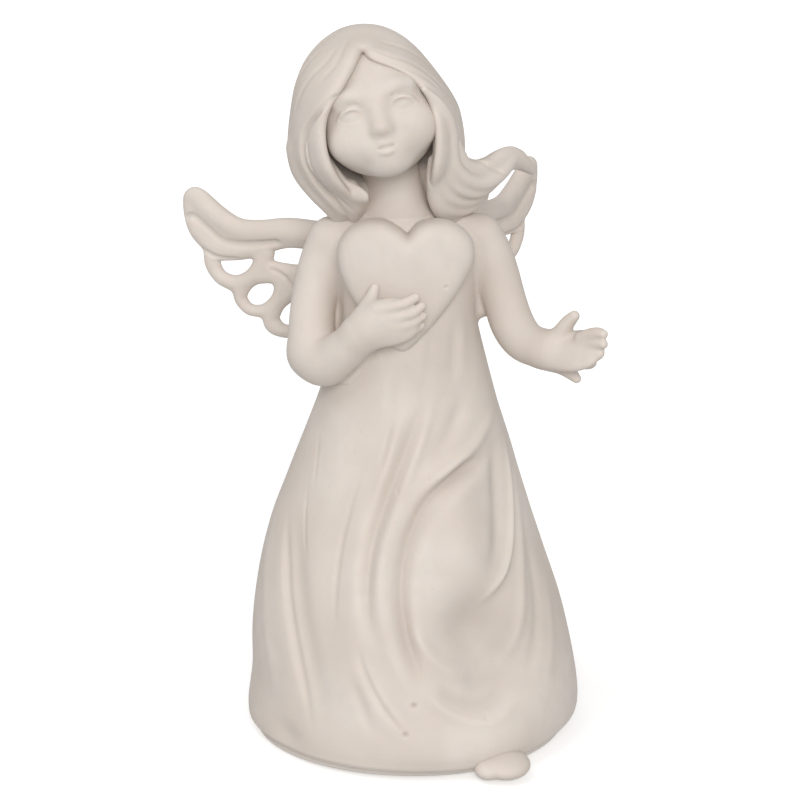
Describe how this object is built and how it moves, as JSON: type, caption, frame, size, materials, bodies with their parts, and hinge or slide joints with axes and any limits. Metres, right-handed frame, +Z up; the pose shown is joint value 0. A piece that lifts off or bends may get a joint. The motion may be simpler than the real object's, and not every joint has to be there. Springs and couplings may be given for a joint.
{
  "type": "angel figurine",
  "caption": "Matte off-white resin figurine of a standing child angel with openwork wings, holding a heart to its chest, one hand held out; stands on a felt pad.",
  "frame": {"origin": "centre of the felt pad's lower face, where the figurine stands", "axes": "+Z up, the figure faces -Y, +X is the figure's own left"},
  "size_m": [0.0982, 0.094, 0.18],
  "materials": {
    "resin": "unpainted matte cast resin, off-white",
    "stopper_rubber": "soft white stopper",
    "felt": "pressed off-white felt",
    "steel": "plain drawn wire"
  },
  "bodies": {
    "root": {"dress_body": "resin", "head": "resin", "hair": "resin", "heart": "resin", "right_arm": "resin", "left_arm": "resin", "right_wing": "resin", "left_wing": "resin", "left_foot": "resin", "base_stopper": "stopper_rubber", "felt_pad": "felt", "wing_pins": "steel", "arm_pins": "steel", "neck_pin": "steel"}
  },
  "joints": []
}
